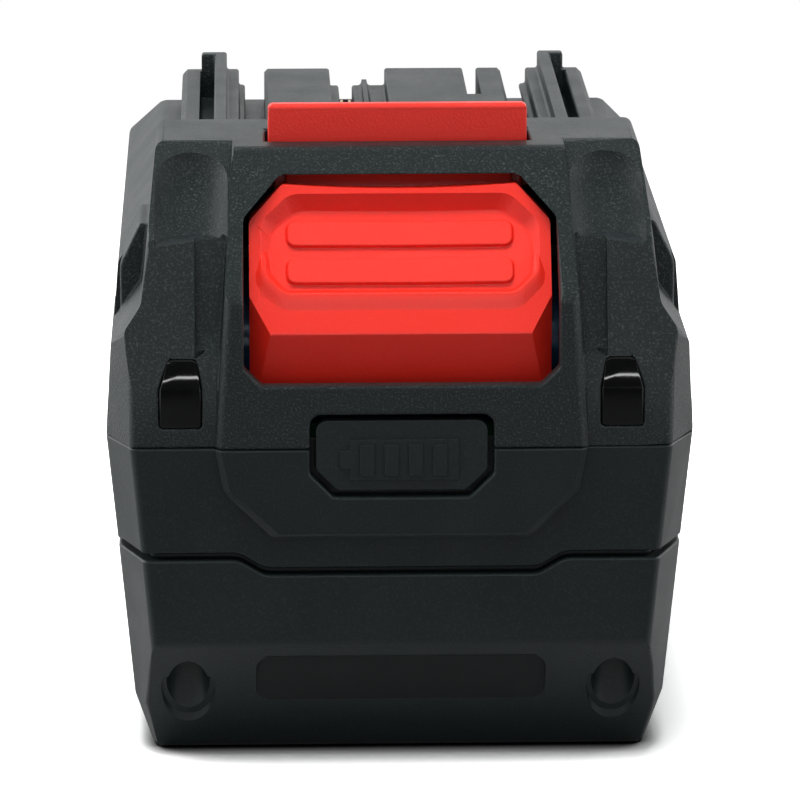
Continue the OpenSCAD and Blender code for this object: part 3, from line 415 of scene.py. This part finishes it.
def raised_shape(name, points, back, front, rounding):
    """A flat shape drawn in X and Z that stands out from Y back to Y front, with its front edge rounded."""
    work = bmesh.new()
    corners = [work.verts.new((x, front, z)) for x, z in points]
    rear = [work.verts.new((x, back, z)) for x, z in points]
    count = len(points)
    work.faces.new(corners)
    work.faces.new(rear[::-1])
    for i in range(count):
        j = (i + 1) % count
        work.faces.new((corners[i], rear[i], rear[j], corners[j]))
    bmesh.ops.recalc_face_normals(work, faces=work.faces)
    edges = [e for e in work.edges if any(v.co.y < front + 0.001 * MM for v in e.verts)]
    bmesh.ops.bevel(work, geom=edges, offset=rounding, offset_type="OFFSET", segments=2, profile=0.5,
                    affect="EDGES", clamp_overlap=False, material=-1)
    mesh = bpy.data.meshes.new(name)
    work.to_mesh(mesh)
    work.free()
    smooth(mesh, angle=30)
    return link(name, mesh)


def lip_path(start):
    """The line of the thumb lip on the thumb face: a U with cut corners, drawn in X and down the face."""
    side, low, cut, turn = 17.6 * MM, 15.0 * MM, 2.4 * MM, 1.2 * MM
    left = [Vector((-side, start + step * MM)) for step in range(6)]
    bends = [Vector((-side, low - cut)), Vector((-side + cut, low))]
    for before, bend, after in zip((left[-1], bends[0]), bends, (bends[1], Vector((0, low)))):
        left += [bend + (before - bend).normalized() * turn, bend,
                 bend + (after - bend).normalized() * turn]
    path = left + [Vector((-point.x, point.y)) for point in reversed(left)]
    for _ in range(2):
        cuts = [a.lerp(b, share) for a, b in zip(path, path[1:]) for share in (0.25, 0.75)]
        path = [path[0]] + cuts + [path[-1]]
    return path


def lip_section(rise, width, root):
    """Outline of the lip: up from below the face to its crest, down again slowly, and round the root."""
    crest, dip, fall = 1.1 * MM, 0.6 * MM, 0.015 * MM
    up = [(crest * k / 6, (rise + dip) * math.sin(math.pi * k / 12) - dip) for k in range(7)]
    down = [(crest + (width - crest) * k / 8, rise * (0.5 + 0.5 * math.cos(math.pi * k / 8)) - fall * k)
            for k in range(1, 9)]
    return up + down + [(width, -root), (0.0, -root)]


def thumb_lip(rise):
    """Rolled border at the foot of the latch's thumb field, whose two ends come up out of the face."""
    top, foot = Vector((0, -45.7 * MM, 79.3 * MM)), Vector((0, -56.9 * MM, 60.9 * MM))
    start, fade, buried, narrow, root = 6 * MM, 7 * MM, 1.2 * MM, 2.0 * MM, 1.9 * MM
    down = (foot - top).normalized()
    out = down.cross(Vector((1, 0, 0)))
    path = lip_path(start)
    work = bmesh.new()
    rings = []
    for i, point in enumerate(path):
        along = (path[min(i + 1, len(path) - 1)] - path[max(i - 1, 0)]).normalized()
        across = Vector((-along.y, along.x))
        share = min(max((point.y - start) / fade, 0.0), 1.0)
        sink = (1 - share * share * (3 - 2 * share)) * (rise + buried)
        ring = []
        for reach, height in lip_section(rise, narrow * (1 + max(across.y, 0.0)), root):
            flat = point + across * reach
            place = top + down * flat.y + out * max(height - sink, -root)
            ring.append(work.verts.new((flat.x, place.y, place.z)))
        rings.append(ring)
    count = len(rings[0])
    for a, b in zip(rings, rings[1:]):
        for k in range(count):
            work.faces.new((a[k], a[(k + 1) % count], b[(k + 1) % count], b[k]))
    work.faces.new(rings[0])
    work.faces.new(rings[-1][::-1])
    bmesh.ops.remove_doubles(work, verts=work.verts, dist=0.001 * MM)
    bmesh.ops.recalc_face_normals(work, faces=work.faces)
    mesh = bpy.data.meshes.new("thumb_lip")
    work.to_mesh(mesh)
    work.free()
    smooth(mesh, angle=50)
    return link("thumb_lip", mesh)


def row_group(material):
    """Geometry nodes that repeat a shape along X."""
    tree = bpy.data.node_groups.new("row_along_x", "GeometryNodeTree")
    tree.interface.new_socket("Geometry", in_out="INPUT", socket_type="NodeSocketGeometry")
    tree.interface.new_socket("Count", in_out="INPUT", socket_type="NodeSocketInt")
    tree.interface.new_socket("Pitch", in_out="INPUT", socket_type="NodeSocketFloat")
    tree.interface.new_socket("Geometry", in_out="OUTPUT", socket_type="NodeSocketGeometry")
    given = add(tree, "NodeGroupInput").outputs
    step = add(tree, "ShaderNodeCombineXYZ", {"X": given["Pitch"]})
    line = add(tree, "GeometryNodeMeshLine", {"Count": given["Count"], "Offset": step.outputs[0]})
    copies = add(tree, "GeometryNodeInstanceOnPoints", {
        "Points": line.outputs[0], "Instance": given["Geometry"]})
    real = add(tree, "GeometryNodeRealizeInstances", {"Geometry": copies.outputs[0]})
    painted = add(tree, "GeometryNodeSetMaterial", {"Geometry": real.outputs[0], "Material": material})
    add(tree, "NodeGroupOutput", {"Geometry": painted.outputs[0]})
    return tree


def repeat(piece, count, pitch, material):
    """Repeats a piece along X and keeps the result as its mesh."""
    tree = row_group(material)
    steps = piece.modifiers.new("row", "NODES")
    steps.node_group = tree
    for item in tree.interface.items_tree:
        if item.in_out == "INPUT" and item.name == "Count":
            steps[item.identifier] = count
        if item.in_out == "INPUT" and item.name == "Pitch":
            steps[item.identifier] = pitch
    ready = piece.evaluated_get(bpy.context.evaluated_depsgraph_get())
    mesh = bpy.data.meshes.new_from_object(ready)
    piece.modifiers.remove(steps)
    piece.data = mesh


class PACK_OT_stage(bpy.types.Operator):
    """Sets the floor, the lamps, the world and the camera"""
    bl_idname = "pack.stage"
    bl_label = "Stage"

    def execute(self, context):
        scene = context.scene
        sizes = scene.pack_stage
        scene.view_settings.view_transform = "Standard"
        self.floor()
        scene.world = self.surroundings(sizes)
        aim = Vector((0, 0, 40 * MM))
        for name, spot, wide, high, power, shine in (
                ("light_above", (-0.08, -0.16, 0.85), 0.45, 0.45, sizes.key, "matt"),
                ("light_left", (-0.75, 0.28, 0.42), 0.5, 0.5, sizes.side, "both"),
                ("light_right", (0.8, 0.3, 0.35), 0.5, 0.5, sizes.side * 0.4, "both"),
                ("light_strip", (0.0, -1.1, 0.2), 1.2, 0.03, sizes.strip, "gloss"),
                ("light_front", (0.0, -1.0, 0.62), 0.7, 0.2, sizes.strip, "gloss")):
            lamp = bpy.data.lights.new(name, "AREA")
            lamp.shape = "RECTANGLE"
            lamp.size = wide
            lamp.size_y = high
            lamp.energy = power
            holder = bpy.data.objects.new(name, lamp)
            holder.visible_camera = False
            holder.visible_glossy = shine != "matt"
            holder.visible_diffuse = shine != "gloss"
            holder.location = spot
            holder.rotation_euler = (aim - Vector(spot)).to_track_quat("-Z", "Y").to_euler()
            scene.collection.objects.link(holder)
        # Solved on the photo: the camera stands left of the middle and looks down on the pack
        tilt, turn = math.radians(-13.9), math.radians(-1.64)
        camera = bpy.data.objects.new("camera", bpy.data.cameras.new("camera"))
        camera.data.sensor_width = 36
        camera.data.lens = sizes.lens
        camera.data.clip_start = 0.01
        camera.location = (-21.58 * MM, -804.29 * MM, 236.76 * MM)
        camera.rotation_euler = (math.radians(90) + tilt, 0, turn)
        scene.collection.objects.link(camera)
        scene.camera = camera
        return {"FINISHED"}

    def floor(self):
        """White paper that keeps the lamps' soft shadow under the pack, and a painted shadow at the pack's
        foot.
        """
        reach = 6
        mesh = bpy.data.meshes.new("floor")
        mesh.from_pydata([(-reach, -reach, 0), (reach, -reach, 0), (reach, reach, 0), (-reach, reach, 0)],
                         [], [(0, 1, 2, 3)])
        floor = link("floor", mesh)
        material, tree = new_material("white_paper")
        ray = add(tree, "ShaderNodeLightPath").outputs
        place = add(tree, "ShaderNodeTexCoord").outputs["Object"]
        spot = add(tree, "ShaderNodeSeparateXYZ", {0: place}).outputs
        # Painted bounce light: the light that it throws back is weak before the pack and strong far out at
        # both sides
        depth = ramp(tree, spot["Y"], (-0.1, -0.065), (0.14, 0.5))
        beside = ramp(tree, calc(tree, "ABSOLUTE", spot["X"]), (0.2, 0.6), (0.1, 2.2))
        lit = calc(tree, "MAXIMUM", depth, beside)
        # Painted shadow: the eye sees paper that is nearly white and is painted darker close to the pack's
        # foot
        painted_shadow_ao = add(tree, "ShaderNodeAmbientOcclusion", {"Distance": 4 * MM}, samples=16).outputs["AO"]
        seen = ramp(tree, painted_shadow_ao, (0.3, 0.9), (0.0, 1.9))
        tone = add(tree, "ShaderNodeMix", {"Factor": ray["Is Camera Ray"], "A": lit, "B": seen}).outputs[0]
        matt = add(tree, "ShaderNodeBsdfDiffuse", {"Color": tone}).outputs[0]
        fade = ramp(tree, calc_vector(tree, "LENGTH", place), (0.16, 0.4), (0, 1))
        far = calc(tree, "MULTIPLY", fade, ray["Is Camera Ray"])
        white = add(tree, "ShaderNodeEmission", {"Strength": 1.0}).outputs[0]
        paper = add(tree, "ShaderNodeMixShader", {0: far, 1: matt, 2: white}).outputs[0]
        add(tree, "ShaderNodeOutputMaterial", {"Surface": paper})
        paint(floor, material)

    def surroundings(self, sizes):
        """White to the eye; reflections see a bright back and sides, dimmer above, and a dim front."""
        world = bpy.data.worlds.new("studio")
        world.use_nodes = True
        tree = world.node_tree
        tree.nodes.clear()
        ray = add(tree, "ShaderNodeLightPath").outputs
        gaze = add(tree, "ShaderNodeTexCoord").outputs["Generated"]
        way = add(tree, "ShaderNodeSeparateXYZ", {0: gaze}).outputs
        back = ramp(tree, way["Y"], (-0.6, 0.1), (sizes.front, 1.0), "SMOOTHSTEP")
        beside = ramp(tree, calc(tree, "ABSOLUTE", way["X"]), (0.5, 0.9), (0.0, 2.0), "SMOOTHSTEP")
        top = ramp(tree, way["Z"], (0.5, 0.85), (1.0, 0.5), "SMOOTHSTEP")
        shine = calc(tree, "MULTIPLY", calc(tree, "MAXIMUM", back, beside), top)
        lit = add(tree, "ShaderNodeMix", {
            "Factor": ray["Is Glossy Ray"], "A": sizes.ambient, "B": shine}).outputs[0]
        seen = calc(tree, "MAXIMUM", ray["Is Camera Ray"], ray["Is Transmission Ray"])
        level = add(tree, "ShaderNodeMix", {"Factor": seen, "A": lit, "B": 1.0}).outputs[0]
        sky = add(tree, "ShaderNodeBackground", {"Color": (1, 1, 1, 1), "Strength": level})
        add(tree, "ShaderNodeOutputWorld", {"Surface": sky.outputs[0]})
        return world


class PACK_OT_case(bpy.types.Operator):
    """Rounds the tray, the middle case and the top cover"""
    bl_idname = "pack.case"
    bl_label = "Case mouldings"

    def execute(self, context):
        colours, edges = context.scene.pack_colours, context.scene.pack_edges
        # ABS from a spark-eroded tool: a grain that sparkles where the light grazes it
        coarse = grained("abs_sparked", colours.case, "#454d4e", 0.42, edges.grain, 0.11 * MM,
                         specular=0.36)
        fine = satin_case("abs_satin", colours.case, 0.4, edges.grain)
        # The same ABS, with a bare recessed panel in the front of the tray made dull, and painted darker as
        # shade in its recess
        tray = satin_case("abs_satin_shaded_panel", colours.case, 0.4, edges.grain)
        shade_and_dull_panel(tray, "#0e1314", roughness=0.7, middle=(0, 0, 12.1 * MM),
                   half=(17.8 * MM, 0, 1.7 * MM), corner=2 * MM)
        for node, material, foot in (("top_cover", coarse, 0.0), ("middle_case", fine, 0.0),
                                     ("bottom_tray", tray, edges.foot_radius)):
            piece = rounded_copy(node, edges.case_radius, edges.soft_radius, foot)
            paint(piece, material)
            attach(piece, "pack")
            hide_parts(node)
        return {"FINISHED"}


class PACK_OT_latch(bpy.types.Operator):
    """Rounds the release latch and closes its thumb field with a lip"""
    bl_idname = "pack.latch"
    bl_label = "Release latch"

    def execute(self, context):
        colours, edges = context.scene.pack_colours, context.scene.pack_edges
        # Dyed ABS from a lightly etched tool: an even red with a soft, close grain
        red = grained("abs_red", colours.latch, "#fd3823", 0.36, edges.grain, 0.05 * MM, specular=0.5)
        piece = rounded_copy("release_latch", edges.latch_radius, edges.latch_soft)
        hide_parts("release_latch")
        for moulding in (piece, thumb_lip(edges.lip_rise)):
            paint(moulding, red)
            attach(moulding, "latch")
        return {"FINISHED"}


class PACK_OT_springs(bpy.types.Operator):
    """Copies the two latch springs as smooth-shaded plated wire"""
    bl_idname = "pack.springs"
    bl_label = "Latch springs"

    def execute(self, context):
        wire = zinc_plated("zinc_plated_wire")
        for node in ("latch_spring_left", "latch_spring_right"):
            work = bmesh.new()
            work.from_mesh(frame["nodes"][node].data)
            bmesh.ops.remove_doubles(work, verts=work.verts, dist=0.001 * MM)
            mesh = bpy.data.meshes.new(node + "_wire")
            work.to_mesh(mesh)
            work.free()
            smooth(mesh, angle=65)
            piece = link(node + "_wire", mesh)
            paint(piece, wire)
            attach(piece, "pack")
            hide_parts(node)
            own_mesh(piece)
        return {"FINISHED"}


class PACK_OT_gauge(bpy.types.Operator):
    """Rounds the gauge button and raises the battery icon on it"""
    bl_idname = "pack.gauge"
    bl_label = "Gauge button"

    def execute(self, context):
        scene = context.scene
        colours, edges, icon = scene.pack_colours, scene.pack_edges, scene.pack_icon
        # A rubbed face, a little duller than the case
        satin = satin_case("abs_gauge", colours.case, 0.5, edges.grain)
        button = rounded_copy("gauge_button", edges.small_radius)
        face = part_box("gauge_button")[0][1]
        # The icon's place on the button, its terminal, the gap before the first bar, and its layers' edges
        middle, left = 44.15 * MM, -7.1 * MM
        nub, nub_half, margin = 1.3 * MM, 1.3 * MM, 1.42 * MM
        seat, rounding = 0.05 * MM, 0.12 * MM
        right = left + icon.width
        foot, top = middle - icon.height / 2, middle + icon.height / 2
        outline = [(left, foot), (right, foot), (right, top), (left, top),
                   (left, middle + nub_half), (left - nub, middle + nub_half),
                   (left - nub, middle - nub_half), (left, middle - nub_half)]
        plate = raised_shape("icon_plate", outline, face + seat, face - icon.rise, rounding)
        x = left + margin
        half = icon.bar_height / 2
        corners = [(x, middle - half), (x + icon.bar_width, middle - half),
                   (x + icon.bar_width, middle + half), (x, middle + half)]
        bars = raised_shape("icon_bars", corners, face - icon.rise + seat, face - 2 * icon.rise, rounding)
        repeat(bars, icon.bars, icon.pitch, satin)
        for piece in (button, plate, bars):
            paint(piece, satin)
            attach(piece, "gauge")
        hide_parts("gauge_button")
        return {"FINISHED"}


class PACK_OT_inserts(bpy.types.Operator):
    """Rounds the two gloss inserts at the front corners"""
    bl_idname = "pack.inserts"
    bl_label = "Corner inserts"

    def execute(self, context):
        colours, edges = context.scene.pack_colours, context.scene.pack_edges
        # Polished acrylic: deep black with clear reflections and faint moulding waves
        gloss = grained("acrylic_gloss", colours.insert, "#0b0c0c", 0.06, 6 * MM, 0.01 * MM, sheen=0.02)
        for node in ("corner_insert_left", "corner_insert_right"):
            piece = rounded_copy(node, edges.small_radius)
            paint(piece, gloss)
            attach(piece, "pack")
            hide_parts(node)
        return {"FINISHED"}


class PACK_OT_inside(bpy.types.Operator):
    """Finishes the cells, holders, strips, boards, contacts and screws"""
    bl_idname = "pack.inside"
    bl_label = "Inner parts"

    def execute(self, context):
        colours = context.scene.pack_colours
        finishes = {
            "cell_wrap": cell_sleeve(colours.sleeve),
            "board_laminate": circuit_board(colours.resist),
            "steel": zinc_plated("zinc_plated_steel"),
            # Rolled nickel strip: warm grey, drawn out along the pack by the rolls
            "nickel": grained("rolled_nickel", "#b3aea4", "#cfcac0", 0.3, 0.4 * MM, 0.004 * MM,
                              metallic=1.0, stretch=(1, 0.06, 1)),
            # Stamped and tinned bronze: pale gold with fine stamping lines
            "contact_alloy": grained("tinned_bronze", "#c29a5c", "#dcc28e", 0.28, 0.4 * MM, 0.004 * MM,
                                     metallic=1.0, stretch=(1, 0.1, 1)),
            # Bare copper alloy: a red-brown bar with a dull oxide
            "shunt_alloy": grained("manganin", "#8d5a3c", "#a87450", 0.42, 0.4 * MM, 0.005 * MM,
                                   metallic=1.0),
            # Glass-filled nylon: charcoal with short grey fibres
            "holder_plastic": grained("glass_filled_nylon", "#26292b", "#3c4042", 0.55, 0.5 * MM, 0.02 * MM,
                                      stretch=(0.3, 1, 1)),
            # Pressed paper: grey-green with long soft fibres
            "sheet_paper": grained("fish_paper", "#33685e", "#4f8579", 0.8, 0.5 * MM, 0.03 * MM,
                                   stretch=(1, 0.2, 1)),
            # Closed-cell foam: dark, dull and pitted
            "foam": grained("eva_foam", "#2b2b2a", "#454543", 0.95, 0.7 * MM, 0.12 * MM, specular=0.2),
            # Moulded epoxy: flat black with a matt face
            "component_plastic": grained("epoxy_mould", "#0d0e0f", "#1c1d1e", 0.6, 0.2 * MM, 0.01 * MM),
            # Fired ceramic: tan and slightly mottled
            "component_ceramic": grained("barium_ceramic", "#a5855c", "#b99a72", 0.45, 0.3 * MM,
                                         0.005 * MM),
            # Clear epoxy lens: milky white and glossy
            "lamp_plastic": grained("lens_epoxy", "#dedfd8", "#f2f3ee", 0.15, 0.8 * MM, 0.003 * MM),
            # Dipped resin: a dark brown bead with a wet gloss
            "bead_resin": grained("dipped_resin", "#2a1d14", "#3a2a1e", 0.18, 0.8 * MM, 0.01 * MM),
        }
        slots = {row["node"]: row["material_slot"] for row in frame["record"]["subparts"]}
        for node, piece in frame["nodes"].items():
            if slots[node] in finishes:
                paint(piece, finishes[slots[node]])
        return {"FINISHED"}


class PACK_PT_panel(bpy.types.Panel):
    """Lists the pack's settings and its steps"""
    bl_label = "Battery pack"
    bl_idname = "PACK_PT_panel"
    bl_space_type = "VIEW_3D"
    bl_region_type = "UI"
    bl_category = "Battery pack"

    def draw(self, context):
        scene = context.scene
        for group in (scene.pack_colours, scene.pack_edges, scene.pack_icon, scene.pack_stage):
            box = self.layout.box()
            for name in group.__annotations__:
                box.prop(group, name)
        for step in STEPS:
            self.layout.operator(step.bl_idname)


STEPS = (PACK_OT_stage, PACK_OT_case, PACK_OT_latch, PACK_OT_springs, PACK_OT_gauge, PACK_OT_inserts,
         PACK_OT_inside)
GROUPS = {"pack_colours": PackColours, "pack_edges": PackEdges,
          "pack_icon": PackIcon, "pack_stage": PackStage}
CLASSES = tuple(GROUPS.values()) + STEPS + (PACK_PT_panel,)


def register():
    for cls in CLASSES:
        bpy.utils.register_class(cls)
    for name, group in GROUPS.items():
        setattr(bpy.types.Scene, name, bpy.props.PointerProperty(type=group))


def unregister():
    for name in GROUPS:
        delattr(bpy.types.Scene, name)
    for cls in reversed(CLASSES):
        bpy.utils.unregister_class(cls)


def main():
    register()
    bpy.ops.pack.stage()
    bpy.ops.pack.case()
    bpy.ops.pack.latch()
    bpy.ops.pack.springs()
    bpy.ops.pack.gauge()
    bpy.ops.pack.inserts()
    bpy.ops.pack.inside()


if __name__ == "__main__":
    main()
